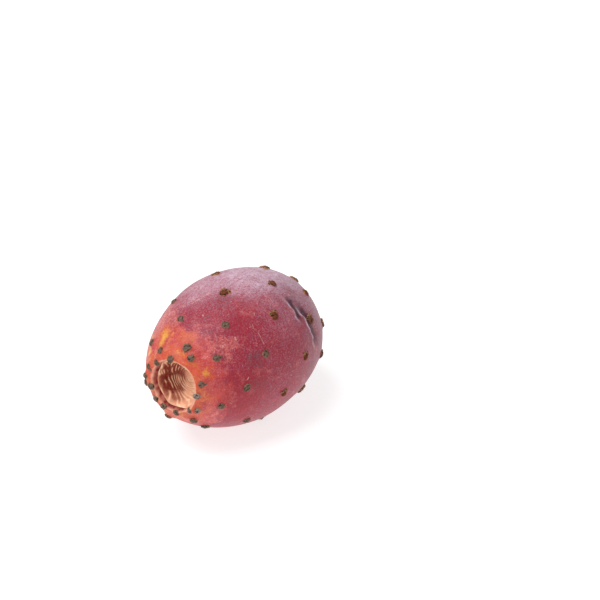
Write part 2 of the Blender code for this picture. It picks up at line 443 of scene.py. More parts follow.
class FruitColours(bpy.types.PropertyGroup):
    rose: colour("Rose", "Ripe skin", 158, 52, 72)
    mauve: colour("Mauve", "Skin towards the scar", 134, 64, 88)
    salmon: colour("Salmon", "Paler flank", 226, 128, 118)
    orange: colour("Orange", "Skin near the crater", 214, 98, 58)
    ember: colour("Ember", "Warm red between the orange and the rose", 208, 76, 68)
    yellow: colour("Yellow", "Last unripe patches", 244, 184, 74)
    crimson: colour("Crimson", "Ripest patches and flecks", 162, 20, 42)
    bloom: colour("Bloom", "Waxy bloom over the skin", 228, 202, 220)
    dusk: colour("Dusk", "Dull brown smudges", 112, 62, 70)
    tissue: colour("Tissue", "Dry fibre ridges in the crater", 255, 214, 178)
    tissue_floor: colour("Tissue Floor", "Duller fibre ridges", 248, 190, 154)
    tissue_shade: colour("Tissue Shade", "Between the fibre ridges", 232, 166, 134)
    # Painted shade: the next two colours darken the lining's side that faces away from the key light,
    # between its ridges and in brown streaks there
    shaded_tissue_gap: colour("Tissue Gap", "Dark gaps between the ridges on one side", 128, 34, 24)
    shaded_tissue_brown: colour("Tissue Brown", "Brown fibres in those gaps", 146, 76, 54)
    lip: colour("Lip", "Red knobs of the lip", 218, 86, 62)
    rim: colour("Rim", "Dry skin inside the lip", 238, 182, 156)
    # Painted shade, laid in the creases' hollows
    hollow: colour("Hollow", "Hollows of the creases", 84, 34, 52)
    # Painted highlight, laid along the creases' edges
    crease: colour("Crease", "Pale edges of the creases", 226, 200, 216)
    scratch: colour("Scratch", "Scratches and dots", 232, 186, 170)
    # Partly the groove's own red and partly painted shade inside the groove
    groove: colour("Groove", "Groove inside the lip", 134, 10, 20)
    scar: colour("Scar", "Dry scar of the cut", 150, 112, 78)
    felt: colour("Felt", "Grey-brown felt of an areole", 130, 108, 92)
    rust: colour("Rust", "Red-brown felt of an areole", 132, 66, 36)
    felt_edge: colour("Felt Edge", "Pale edge of an areole", 188, 142, 96)
    # Painted shade, laid between the lumps of the felt
    felt_shade_between_lumps: colour("Felt Gap", "Between the lumps of the felt", 40, 26, 22)
    dead_felt: colour("Dead Felt", "Pale grey felt of a dead areole", 168, 158, 146)
    bristle: colour("Bristle", "Bristles", 104, 72, 48)


class FruitStage(bpy.types.PropertyGroup):
    azimuth: FloatProperty(
        name="Azimuth", description="Camera's turn", default=radians(34.8), subtype="ANGLE"
    )
    elevation: FloatProperty(
        name="Elevation", description="Camera's height", default=radians(30), subtype="ANGLE"
    )
    distance: length("Distance", "Camera to fruit", 0.70)
    lens: FloatProperty(name="Lens", description="Focal length, mm", default=112.0)
    off_right: length("Off Right", "How far right of the fruit the camera aims", 25.0 * MM)
    off_up: length("Off Up", "How far above the fruit the camera aims", 18.0 * MM)
    floor: colour("Floor", "Floor, lit until it is almost white", 196, 195, 195)


def field(points, width):
    """Smooth random values, about -1 to 1, that change over a width."""
    return np.array([noise.noise(point) for point in (points / width).tolist()])


def rise_over(values, low, high):
    """0 at low and 1 at high with a smooth change between, also where high is the lower."""
    share = np.clip((values - low) / (high - low), 0, 1)
    return share * share * (3 - 2 * share)


def turned(angles):
    """Angles brought to within half a turn either way."""
    return (angles + pi) % (2 * pi) - pi


def crease_pasts(along, around):
    """For each crease its depth, how far it fades out and how many widths past its edge."""
    (wander, often), (ripple, closely) = CREASE_WANDERS
    for edge, middle, reach, depth, width, slant in CREASES:
        aside = turned(around - middle)
        fade = np.exp(-((aside / reach) ** 4))
        moved = wander * np.sin(around * often + edge / MM) + ripple * np.sin(around * closely)
        yield depth, fade, (edge + moved + slant * aside - along) / width


def crease_depth(along, around):
    """How far the creases move the skin outwards; negative is inwards."""
    moved = np.zeros(len(along))
    for depth, fade, past in crease_pasts(along, around):
        moved -= depth * fade * np.clip(past, 0, None) * np.exp(1 - np.clip(past, 0, None))
        moved += CREASE_EDGE_RISE * fade * np.exp(-((past / CREASE_EDGE_WIDTH) ** 2))
    return moved


def rounded(points, steps):
    """A smooth line through outline points, with steps points to each stretch."""
    ends = [points[0], *points, points[-1]]
    line = []
    for before, start, end, after in zip(ends, ends[1:], ends[2:], ends[3:]):
        for share in np.linspace(0, 1, steps, endpoint=False):
            line.append(
                [
                    0.5
                    * (
                        2 * b
                        + (c - a) * share
                        + (2 * a - 5 * b + 4 * c - d) * share**2
                        + (3 * b - a - 3 * c + d) * share**3
                    )
                    for a, b, c, d in zip(before, start, end, after)
                ]
            )
    line.append(list(points[-1]))
    return line


class Body:
    """The turned body and where its areoles stand, with the same sizes as the solid."""

    def __init__(self, shape, areoles):
        self.shape = shape
        self.half_length = shape.half_length
        self.radius = shape.greatest_radius
        rise = shape.crater_rise
        self.along_axis = np.array((0.0, -cos(rise), sin(rise)))
        self.up_axis = np.array((0.0, sin(rise), cos(rise)))
        self.side_axis = np.array((1.0, 0.0, 0.0))
        self.line = self.areole_line()
        self.draw_areoles(areoles)

    def radius_at(self, along):
        share = along / self.half_length
        full = np.sqrt(np.clip(1 - np.abs(share) ** FULLNESS, 0, None))
        return self.radius * full * (1 - self.shape.narrowing * share)

    def place(self, radius, along, around):
        """The points in space of places on the turned body, before their mounds."""
        down = np.clip(-np.cos(around), 0, None)
        wide = radius * (1 + BELLY * down**2 * along / self.half_length)
        outwards = np.outer(np.cos(around), self.up_axis) + np.outer(np.sin(around), self.side_axis)
        points = np.array(MIDDLE) + np.outer(along, self.along_axis) + outwards * wide[:, None]
        lump = UNEVEN_HEIGHT * field(points, UNEVEN_WIDTH)
        share = np.minimum(1, radius / self.radius)
        points += outwards * (share * (lump + crease_depth(along, around)))[:, None]
        shift = (CRATER_SHIFT_FROM - radius) / (CRATER_SHIFT_FROM - CRATER_SHIFT_FULL)
        shift = np.clip(shift, 0, 1) * (along > 0)
        return points + np.outer(shift, self.side_axis * CRATER_ASIDE + self.up_axis * CRATER_RAISED)

    def areole_line(self):
        """The line that areoles stand on, from the lip's top down: arcs, radii and alongs."""
        alongs = np.linspace(LIP_ALONG, SCAR_EDGE_ALONG, ARC_SAMPLES)
        radii = np.concatenate([[LIP_TOP_RADIUS, CRATER[0][0]], self.radius_at(alongs)])
        alongs = np.concatenate([[LIP_TOP_ALONG, CRATER[0][1]], alongs])
        arcs = np.concatenate([[0.0], np.cumsum(np.hypot(np.diff(alongs), np.diff(radii)))])
        return arcs - arcs[2], radii, alongs

    def draw_areoles(self, areoles):
        """Sets the alongs, middles, outward directions and mound heights of the areoles."""
        draw = random.Random(SEED)
        own_arcs = [arc * MM for arc, turn in LIP_AREOLES]
        arounds = [radians(turn) for arc, turn in LIP_AREOLES]
        for whorl in range(FIRST_WHORL, areoles.whorls):
            arc = areoles.whorl_step * (whorl - LIP_CROWDING * np.tanh(whorl / LIP_CROWDING))
            arc -= SCAR_CROWDING * max(0, whorl - SCAR_CROWDING_FROM) ** 2
            for number in range(areoles.in_whorl):
                around = FIRST_TURN + WHORL_TURN * whorl + 2 * pi * number / areoles.in_whorl
                lean = WHORL_LEAN * cos(around - WHORL_LEAN_TURN)
                own_arc = arc + lean * np.tanh(arc / WHORL_LEAN_REACH)
                own_arc += draw.uniform(-1, 1) * AREOLE_STRAY
                around += SIDE_SWAY * sin(around - SIDE_SWAY_TURN)
                around += draw.uniform(-1, 1) * AREOLE_TURN_STRAY
                own_arcs.append(own_arc)
                arounds.append(turned(around))
        self.arcs = np.array(own_arcs)
        self.middles, self.outs, self.alongs = self.skin_frame(self.arcs, np.array(arounds))
        near_lip = np.exp(-(((LIP_TOP_ALONG - self.alongs) / LIP_MOUND_REACH) ** 2))
        self.heights = MOUND_HEIGHT + (LIP_MOUND_HEIGHT - MOUND_HEIGHT) * near_lip

    def on_line(self, arc, around):
        """The points of places on the areoles' line, with the lip's waves, and their alongs."""
        arcs, radii, alongs = self.line
        radius, along = np.interp(arc, arcs, radii), np.interp(arc, arcs, alongs)
        local = np.stack([radius * np.sin(around), radius * np.cos(around), along], axis=1)
        return self.place(*lip_waves(self.shape, local)), along

    def skin_frame(self, arc, around):
        """The points, outward directions and alongs of places on the areoles' line."""
        step, turn = 0.8 * MM, 0.02
        points, along = self.on_line(arc, around)
        ahead = self.on_line(arc - step, around)[0] - self.on_line(arc + step, around)[0]
        aside = self.on_line(arc, around + turn)[0] - points
        out = np.cross(ahead, aside)
        return points, out / np.linalg.norm(out, axis=1)[:, None], along

    def outline(self):
        """The outline from the scar's middle over the skin to the crater's floor."""
        start = np.arccos(-SCAR_EDGE_ALONG / self.half_length)
        end = np.arccos(-LIP_ALONG / self.half_length)
        alongs = -self.half_length * np.cos(np.linspace(start, end, SKIN_RINGS))
        skin = [[float(self.radius_at(along)), float(along)] for along in alongs]
        return rounded(SCAR, SCAR_STEPS) + skin + rounded(CRATER, CRATER_STEPS)


def patch_mask(kind, along, around):
    """How much of a kind of patch there is at places of the skin, 0 to 1."""
    bare = np.ones(len(along))
    for middle, turn, reach, turn_reach, strength in PATCHES[kind]:
        sideways = turned(around - radians(turn)) / radians(turn_reach)
        lengthways = (along - middle * MM) / (reach * MM)
        bare *= 1 - strength * np.exp(-(lengthways**2) - sideways**2)
    return 1 - bare


def mesh_of(name, work):
    """A mesh of what was shaped, after which the work is freed."""
    mesh = bpy.data.meshes.new(name)
    work.to_mesh(mesh)
    work.free()
    return mesh


def add_object(name, data):
    """A mesh, lamp or camera as an object of the scene."""
    added = bpy.data.objects.new(name, data)
    bpy.context.scene.collection.objects.link(added)
    return added


def add_piece(name, work):
    """The finished shape as a piece that rides on the root body in place of the solid."""
    piece = add_object(name, mesh_of(name, work))
    piece.data.shade_smooth()
    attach(piece, "root")
    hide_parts("fruit")
    return piece


def spun(outline, columns):
    """A closed body turned about Z from an outline of (radius, along) from axis to axis."""
    work = bmesh.new()
    line = [work.verts.new((0.0, radius, along)) for radius, along in outline]
    edges = [work.edges.new(pair) for pair in zip(line, line[1:])]
    bmesh.ops.spin(
        work,
        geom=line + edges,
        cent=(0, 0, 0),
        axis=(0, 0, 1),
        angle=2 * pi,
        steps=columns,
        use_merge=True,
    )
    bmesh.ops.remove_doubles(work, verts=work.verts, dist=MERGE_DISTANCE)
    bmesh.ops.recalc_face_normals(work, faces=work.faces)
    return work


def points_of(mesh):
    flat = np.empty(len(mesh.vertices) * 3, np.float32)
    mesh.vertices.foreach_get("co", flat)
    return flat.reshape(-1, 3).astype(float)


def set_points(mesh, points):
    mesh.vertices.foreach_set("co", points.astype(np.float32).ravel())
    mesh.update()


def set_values(mesh, **shares):
    """Keeps a number for each vertex under each name, for the materials to read."""
    for name, values in shares.items():
        kept = mesh.attributes.new(name, "FLOAT", "POINT")
        kept.data.foreach_set("value", np.asarray(values, np.float32))


def turned_places(points):
    """The radius, the distance along and the turn of points of a body turned about Z."""
    radius = np.hypot(points[:, 0], points[:, 1])
    return radius, points[:, 2].copy(), np.arctan2(points[:, 0], points[:, 1])


def rest_on_floor(points):
    """The points with what lies below the surface pressed up to it."""
    height = points[:, 2]
    points[:, 2] = (height + np.sqrt(height**2 + FLOOR_SOFTNESS**2)) / 2
    return points


def lip_waves(shape, points):
    """Points of the turned body with the waves and the folds round the lip added."""
    radius, along, around = turned_places(points)
    near = rise_over(along, *LIP_WAVES_ALONG) * rise_over(radius, *LIP_WAVES_RADIUS)
    radius += near * LIP_WAVE_HEIGHT * field(points, LIP_WAVE_WIDTHS[0])
    outside = near * rise_over(radius, *LIP_WRINKLES_RADIUS)
    radius += outside * shape.lip_wrinkle * field(points * (1, 1, 0.4), LIP_WRINKLE_WIDTHS[0])
    along += near * LIP_WAVE_HEIGHT * field(points + 1, LIP_WAVE_WIDTHS[1])
    along += outside * shape.lip_wrinkle * field(points + 2, LIP_WRINKLE_WIDTHS[1])
    return radius, along, around


def areole_relief(body, points, firm):
    """The points with a mound, a pit and a low collar at each areole, and the halos there."""
    moved = points.copy()
    halo = np.zeros(len(points))
    for middle, out, height in zip(body.middles, body.outs, body.heights):
        away = np.linalg.norm(points - middle, axis=1)
        lift = height * np.exp(-((away / MOUND_RADIUS) ** 2))
        lift += COLLAR_HEIGHT * np.exp(-(((away - COLLAR_RADIUS) / COLLAR_WIDTH) ** 2))
        lift -= PIT_DEPTH * np.exp(-((away / PIT_RADIUS) ** 4))
        moved += (lift * firm)[:, None] * out
        halo = np.maximum(halo, np.exp(-((away / HALO_RADIUS) ** 4)))
    return moved, halo


def fibre_ripples(shape, points, radius, around):
    """How high the crater's fibre ridges stand, and their shape from 0 to 1."""
    from_rim = LINING_TOP[0][0] - radius
    broad = 0.5 + 0.5 * np.cos(around - SHADED_SIDE_TURN)
    away = np.hypot(points[:, 0] - FIBRE_MIDDLE[0], points[:, 1] - FIBRE_MIDDLE[1])
    ridge = np.zeros(len(points))
    for layer, width in enumerate(FIBRE_LAYER_WIDTHS):
        phase = away / (shape.ripple_width * width)
        phase += FIBRE_STRAY * field(points * (1, 1, 0.5) + layer, 4.5 * MM)
        phase += 0.2 * field(points * (1, 1, 0.5) + layer, 1.7 * MM)
        crest = (1 - np.abs(2 * (phase % 1) - 1)) ** 1.3
        there = rise_over(field(points * (1, 1, 0.6) + 3 + layer, 3.0 * MM), -0.5, 0.35)
        ridge = np.maximum(ridge, crest * there)
    height = shape.ripple_height * (0.3 + 0.7 * broad)
    return height * ridge * rise_over(from_rim, *FIBRE_EDGE), ridge


def open_groove(around, points):
    """How far the groove inside the lip stands open: wide on one side, closed on the other."""
    facing = np.cos(around - GROOVE_TURN) + 0.25 * field(points, 4 * MM)
    return rise_over(facing, -0.15, 0.45)


def make_skin(scene):
    shape = scene.fruit_shape
    body = Body(shape, scene.fruit_areoles)
    piece = add_piece("skin", spun(body.outline(), SKIN_COLUMNS))
    local = points_of(piece.data)
    across = np.hypot(local[:, 0], local[:, 1])
    radius, along, around = lip_waves(shape, local)
    firm = np.where(along > 0, rise_over(across, *MOUND_END), 1.0)
    points, halo = areole_relief(body, body.place(radius, along, around), firm)
    set_points(piece.data, rest_on_floor(points))

    hollow = (along > 0) & (across < LIP_TOP_RADIUS)
    strayed = along + 1.8 * MM * field(points, 4.5 * MM) + 0.7 * MM * field(points + 2, 1.6 * MM)
    swayed = around + radians(8) * field(points + 1, 5 * MM)
    shares = {kind: patch_mask(kind, strayed, swayed) for kind in PATCHES}
    for name, (start, end) in STRETCHES.items():
        shares[name] = rise_over(strayed, start * MM, end * MM)
    shares["halo"] = halo * ~hollow
    # The groove's colour: partly the tissue's red and partly painted shade in the open groove
    groove = hollow * open_groove(around, local) * rise_over(across, *GROOVE_RADIUS)
    shares["groove"] = groove * (0.85 + 0.5 * field(points + 4, 1.3 * MM))
    rim = (along > 0) * rise_over(across, *RIM_RADIUS)
    shares["rim"] = rim * (0.75 + 0.35 * field(points, 1.5 * MM))
    # Painted highlight along the creases' edges, kept for the skin's material
    edges = np.zeros(len(points))
    # Painted shade in the creases' hollows, kept for the skin's material
    crease_shade_amounts = np.zeros(len(points))
    for _, fade, past in crease_pasts(along, around):
        edges += fade * np.exp(-(((past + 0.1) / 0.25) ** 2))
        strays = past + 0.5 * field(points + 3, 1.6 * MM)
        crease_shade_amounts += 1.5 * fade * np.exp(-(((strays - 1.2) / 0.9) ** 2))
    set_values(piece.data, **shares, crease_edge=edges, crease_hollow=crease_shade_amounts * ~hollow)
    piece.data.materials.append(skin_material(scene.fruit_colours, body))


def make_lining(scene):
    shape = scene.fruit_shape
    body = Body(shape, scene.fruit_areoles)
    outline = rounded(LINING_UNDER, UNDER_STEPS) + rounded(LINING_TOP, LINING_STEPS)[1:]
    piece = add_piece("crater_lining", spun(outline, LINING_COLUMNS))
    local = points_of(piece.data)
    across = np.hypot(local[:, 0], local[:, 1])
    top = np.interp(across, *np.array(LINING_TOP[::-1]).T)
    under = np.interp(across, *np.array(LINING_UNDER).T)
    upper = local[:, 2] > (top + under) / 2
    around = turned_places(local)[2]
    height, ridge = fibre_ripples(shape, local, across, around)
    to_mouth = np.array((0, 0, MOUTH_ALONG)) - local
    to_mouth /= np.linalg.norm(to_mouth, axis=1)[:, None]
    raised = local + to_mouth * (height * upper)[:, None]
    flare = FLARE * (1 - open_groove(around, local)) * rise_over(across, *FLARE_RADIUS)
    raised[:, :2] *= (1 + flare / np.maximum(across, MM))[:, None]
    raised[:, 2] += FLARE_RISE * flare
    set_points(piece.data, body.place(*lip_waves(shape, raised)))
    # Painted shade on the lining's side that faces away from the key light
    leftward = np.cos(around - SHADED_SIDE_TURN) * across / (8 * MM)
    wet = rise_over(leftward + 0.4 * field(local, 3 * MM), -0.25, 0.6)
    set_values(piece.data, ridge=ridge * upper, wet=wet * rise_over(across, *PAINTED_SHADE_RADIUS))
    piece.data.materials.append(lining_material(scene.fruit_colours))


def make_scar(scene):
    body = Body(scene.fruit_shape, scene.fruit_areoles)
    outline = rounded(SCAR_PAD_TOP, SCAR_PAD_STEPS) + rounded(SCAR_PAD_UNDER, UNDER_STEPS)
    piece = add_piece("scar_pad", spun(outline, SCAR_COLUMNS))
    local = points_of(piece.data)
    radius, along, around = turned_places(local)
    rings = np.sin(2 * pi * (radius / SCAR_RING_WIDTH + 0.35 * field(local, 2 * MM)))
    rough = SCAR_CRUST_HEIGHT * field(local + 1, 0.9 * MM) + SCAR_RING_HEIGHT * rings
    along -= np.where(along < SCAR_PAD_MIDDLE, rough, 0)
    set_points(piece.data, body.place(radius, along, around))
    set_values(piece.data, rings=0.5 + 0.5 * rings)
    piece.data.materials.append(scar_material(scene.fruit_colours))


def tangents(out):
    """Two directions along the skin at an outward direction."""
    side = np.cross(out, (0.0, 0.0, 1.0) if abs(out[2]) < 0.9 else (0.0, 1.0, 0.0))
    side /= np.linalg.norm(side)
    return side, np.cross(out, side)


# A cushion's place, three directions, sizes along them and shares of its colours
Cushion = namedtuple("Cushion", "base out east north wide deep high rust dead pale")


def cushions(body, areoles):
    """The felt cushions of all areoles, with the small ones beside them."""
    draw = random.Random(SEED + 1)
    bases = body.middles + body.outs * (body.heights - CUSHION_SINK)[:, None]
    found = []
    for number, (base, out, along) in enumerate(zip(bases, body.outs, body.alongs)):
        side, ahead = tangents(out)
        turn = draw.uniform(0, 2 * pi)
        east = side * cos(turn) + ahead * sin(turn)
        north = ahead * cos(turn) - side * sin(turn)
        size = areoles.cushion_radius * draw.uniform(0.9, 1.1)
        size *= LIP_SHARE if body.arcs[number] < 2 * MM else 1.0
        size *= BROAD_SHARE if number == BROAD_AREOLE else 1.0
        high = areoles.cushion_height * draw.uniform(0.85, 1.15)
        rust = draw.uniform(0.6, 1.0) * (1 - float(rise_over(along, RUST_END, RUST_END + 5 * MM)))
        dead = float(number in DEAD_AREOLES)
        wide = size * draw.uniform(0.8, 1.0)
        found.append(Cushion(base, out, east, north, size, wide, high, rust, dead, 0.0))
        near = number < len(LIP_AREOLES)
        if number in TUFTED_AREOLES or (not near and draw.random() < areoles.side_tufts):
            small = size * draw.uniform(0.36, 0.46)
            beside = base - side * (size * 0.85 + small * 0.8) + ahead * draw.uniform(-0.5, 0.5) * size
            sizes = (small, small, small * 0.9)
            found.append(Cushion(beside, out, east, north, *sizes, rust, dead, 0.0))
        crescent = draw.randint(2, 4) if rust > 0.3 else 0
        for lump in range(crescent):
            across = (lump + 0.5) / crescent * 2 - 1 + draw.uniform(-0.12, 0.12)
            uphill = -ahead if ahead[2] < 0 else ahead
            small = size * draw.uniform(0.42, 0.55)
            beside = base + side * size * 0.95 * across + uphill * size * (1.0 - 0.4 * across**2)
            sizes = (small * 1.2, small * 0.8, small * 0.7)
            found.append(Cushion(beside, out, side, ahead, *sizes, rust, dead, 1.0))
    return found


def make_felt(scene):
    areoles = scene.fruit_areoles
    body = Body(scene.fruit_shape, areoles)
    found = cushions(body, areoles)
    work = bmesh.new()
    ends = []
    for cushion in found:
        large = cushion.wide > SMALL_SHARE * areoles.cushion_radius
        cuts = CUSHION_CUTS if large else SMALL_CUSHION_CUTS
        bmesh.ops.create_icosphere(work, subdivisions=cuts, radius=1.0)
        ends.append(len(work.verts))
    piece = add_piece("areole_felt", work)
    balls = np.split(points_of(piece.data), ends[:-1])
    points = []
    shares = {"rust": [], "dead": [], "pale": [], "crest": []}
    for number, (ball, cushion) in enumerate(zip(balls, found)):
        spots = ball * cushion.wide + number * LUMPS_SHIFT
        lumps = sum(
            height * field(spots + layer, width) for layer, (height, width) in enumerate(LUMPS)
        )
        grown = ball * (1 + lumps)[:, None]
        place = np.outer(grown[:, 0] * cushion.wide, cushion.east)
        place += np.outer(grown[:, 1] * cushion.deep, cushion.north)
        points.append(cushion.base + place + np.outer(grown[:, 2] * cushion.high, cushion.out))
        hem = np.exp(-(((ball[:, 2] - 0.24) / 0.15) ** 2))
        hem *= rise_over(field(spots + 2, 0.8 * MM), -0.3, 0.25)
        shares["rust"].append(np.full(len(ball), cushion.rust))
        shares["dead"].append(np.full(len(ball), cushion.dead))
        shares["pale"].append(np.maximum(cushion.pale, 0.85 * hem))
        # How far each lump stands out, for painted highlight on the lumps and painted shade between
        # them
        shares["crest"].append(np.clip(0.5 + 3 * lumps, 0, 1))
    set_points(piece.data, rest_on_floor(np.concatenate(points)))
    set_values(piece.data, **{name: np.concatenate(values) for name, values in shares.items()})
    piece.data.materials.append(felt_material(scene.fruit_colours))


def make_bristles(scene):
    areoles = scene.fruit_areoles
    body = Body(scene.fruit_shape, areoles)
    draw = random.Random(SEED + 2)
    work = bmesh.new()
    roots = []
    for cushion in cushions(body, areoles):
        tuft = bmesh.new()
        count = round(areoles.bristles * (cushion.wide / areoles.cushion_radius) ** 2)
        for number in range(count):
            reach = ((number + 0.5) / count) ** 0.5
            turn = number * GOLDEN_TURN + draw.uniform(-0.3, 0.3)
            aside = cushion.east * cos(turn) + cushion.north * sin(turn)
            root = cushion.base + cushion.east * (cushion.wide * 0.85 * reach * cos(turn))
            root = root + cushion.north * (cushion.deep * 0.85 * reach * sin(turn))
            root = root + cushion.out * cushion.high * 0.8 * (1 - 0.7 * reach**2) ** 0.5
            lean = BRISTLE_LEAN * reach + BRISTLE_LEAN_STRAY * draw.uniform(-1, 1)
            heading = Vector(cushion.out * cos(lean) + aside * sin(lean))
            long = areoles.bristle_length * draw.uniform(0.35, 1.0) * (1 - 0.3 * reach)
            turned_to = heading.to_track_quat("Z", "Y").to_matrix().to_4x4()
            at = Vector(root) + heading * (long / 2 - BRISTLE_SINK)
            bmesh.ops.create_cone(
                tuft,
                cap_ends=True,
                segments=3,
                radius1=areoles.bristle_radius,
                radius2=0,
                depth=long,
                matrix=Matrix.Translation(at) @ turned_to,
            )
        roots += [(*cushion.base, cushion.rust)] * len(tuft.verts)
        joined = mesh_of("tuft", tuft)
        work.from_mesh(joined)
        bpy.data.meshes.remove(joined)
    piece = add_piece("bristles", work)
    points = points_of(piece.data)
    roots = np.array(roots)
    away = np.linalg.norm(points - roots[:, :3], axis=1)
    set_values(piece.data, tip=rise_over(away, 0.9 * MM, 1.7 * MM), rust=roots[:, 3])
    set_points(piece.data, rest_on_floor(points))
    piece.data.materials.append(bristle_material(scene.fruit_colours))


class Finish:
    """A node material while it is put together, and the colour that it has so far."""

    def __init__(self, name, shade):
        self.shade = shade
        self.material = bpy.data.materials.new(name)
        self.material.use_nodes = True
        self.tree = self.material.node_tree
        self.shader = self.tree.nodes["Principled BSDF"]
        self.place = self.tree.nodes.new("ShaderNodeTexCoord").outputs["Object"]

    def feed(self, socket, value):
        if isinstance(value, bpy.types.NodeSocket):
            self.tree.links.new(value, socket)
        elif socket.type == "RGBA":
            socket.default_value = (*value, 1.0)
        else:
            socket.default_value = value

    def set(self, name, value):
        self.feed(self.shader.inputs[name], value)

    def coat(self, share, shade):
        """Lays a colour over the one so far, and hides it where the share is 1."""
        self.shade = self.mix(share, self.shade, shade)

    def done(self, roughness, gloss=0.5):
        """The material with its colour, roughness and gloss set."""
        self.set("Base Color", self.shade)
        self.set("Roughness", roughness)
        self.set("Specular IOR Level", gloss)
        return self.material

    def attribute(self, name):
        node = self.tree.nodes.new("ShaderNodeAttribute")
        node.attribute_name = name
        return node.outputs["Fac"]

    def noise(self, width, detail=3.0, roughness=0.55, place=None):
        node = self.tree.nodes.new("ShaderNodeTexNoise")
        node.inputs["Scale"].default_value = 1 / width
        node.inputs["Detail"].default_value = detail
        node.inputs["Roughness"].default_value = roughness
        self.tree.links.new(place or self.place, node.inputs["Vector"])
        return node.outputs["Fac"]

    def stretched(self, turn, scale):
        """The place turned and then stretched, for marks that run one way."""
        node = self.tree.nodes.new("ShaderNodeMapping")
        node.inputs["Rotation"].default_value = turn
        node.inputs["Scale"].default_value = scale
        self.tree.links.new(self.place, node.inputs["Vector"])
        return node.outputs["Vector"]

    def patch(self, name, noise, most=1.0):
        """The share of a kind of patch, with an edge as uneven as the noise."""
        uneven = self.spread(noise, 0.3, 0.68, 0.0, 0.33)
        share = self.math("ADD", self.times(self.attribute(name), 0.66), uneven)
        return self.spread(share, 0.3, 0.85, 0.0, most)

    def vector(self, operation, first, second):
        node = self.tree.nodes.new("ShaderNodeVectorMath")
        node.operation = operation
        self.feed(node.inputs[0], first)
        self.feed(node.inputs[3 if operation == "SCALE" else 1], second)
        return node.outputs["Value" if operation in ("DOT_PRODUCT", "DISTANCE") else "Vector"]

    def stroke(self, start, end, half_width):
        """1 on a short straight mark from start to end and 0 away from it."""
        run = end - start
        offset = self.vector("SUBTRACT", self.place, start)
        share = self.vector("DOT_PRODUCT", offset, run / run.length_squared)
        nearest = self.vector("SCALE", run, self.held(share))
        return self.spread(self.vector("DISTANCE", offset, nearest), half_width, 0.3 * half_width)

    def specks(self, spacing, size):
        """1 in small dots about a spacing apart and 0 between them."""
        node = self.tree.nodes.new("ShaderNodeTexVoronoi")
        node.inputs["Scale"].default_value = 1 / spacing
        self.tree.links.new(self.place, node.inputs["Vector"])
        return self.spread(node.outputs["Distance"], size / spacing, 0.4 * size / spacing)

    def spread(self, value, low, high, start=0.0, end=1.0):
        """The value taken smoothly from the range low to high to start to end."""
        node = self.tree.nodes.new("ShaderNodeMapRange")
        node.interpolation_type = "SMOOTHSTEP"
        self.feed(node.inputs["Value"], value)
        node.inputs["From Min"].default_value = low
        node.inputs["From Max"].default_value = high
        node.inputs["To Min"].default_value = start
        node.inputs["To Max"].default_value = end
        return node.outputs["Result"]

    def math(self, operation, first, second):
        node = self.tree.nodes.new("ShaderNodeMath")
        node.operation = operation
        node.use_clamp = True
        self.feed(node.inputs[0], first)
        self.feed(node.inputs[1], second)
        return node.outputs[0]

    def held(self, value):
        """The value kept between 0 and 1, as every result of math is."""
        return self.math("ADD", value, 0.0)

    def times(self, *values):
        product = values[0]
        for value in values[1:]:
            product = self.math("MULTIPLY", product, value)
        return product

    def mix(self, share, first, second):
        node = self.tree.nodes.new("ShaderNodeMix")
        node.data_type = "RGBA"
        self.feed(node.inputs[0], share)
        self.feed(node.inputs[6], first)
        self.feed(node.inputs[7], second)
        return node.outputs[2]

    def bump(self, height, distance, strength):
        node = self.tree.nodes.new("ShaderNodeBump")
        node.inputs["Strength"].default_value = strength
        node.inputs["Distance"].default_value = distance
        self.tree.links.new(height, node.inputs["Height"])
        self.tree.links.new(node.outputs["Normal"], self.shader.inputs["Normal"])


def scratch_marks(finish, body):
    """The share of pale scratch at places of the skin."""
    marks = 0.0
    for along, turn, end_along, end_turn, width, strength in SCRATCHES:
        alongs = np.array((along, end_along)) * MM
        start, end = body.place(body.radius_at(alongs), alongs, np.radians((turn, end_turn)))
        mark = finish.stroke(Vector(start), Vector(end), width * MM)
        marks = finish.math("MAXIMUM", finish.times(mark, strength), marks)
    return marks


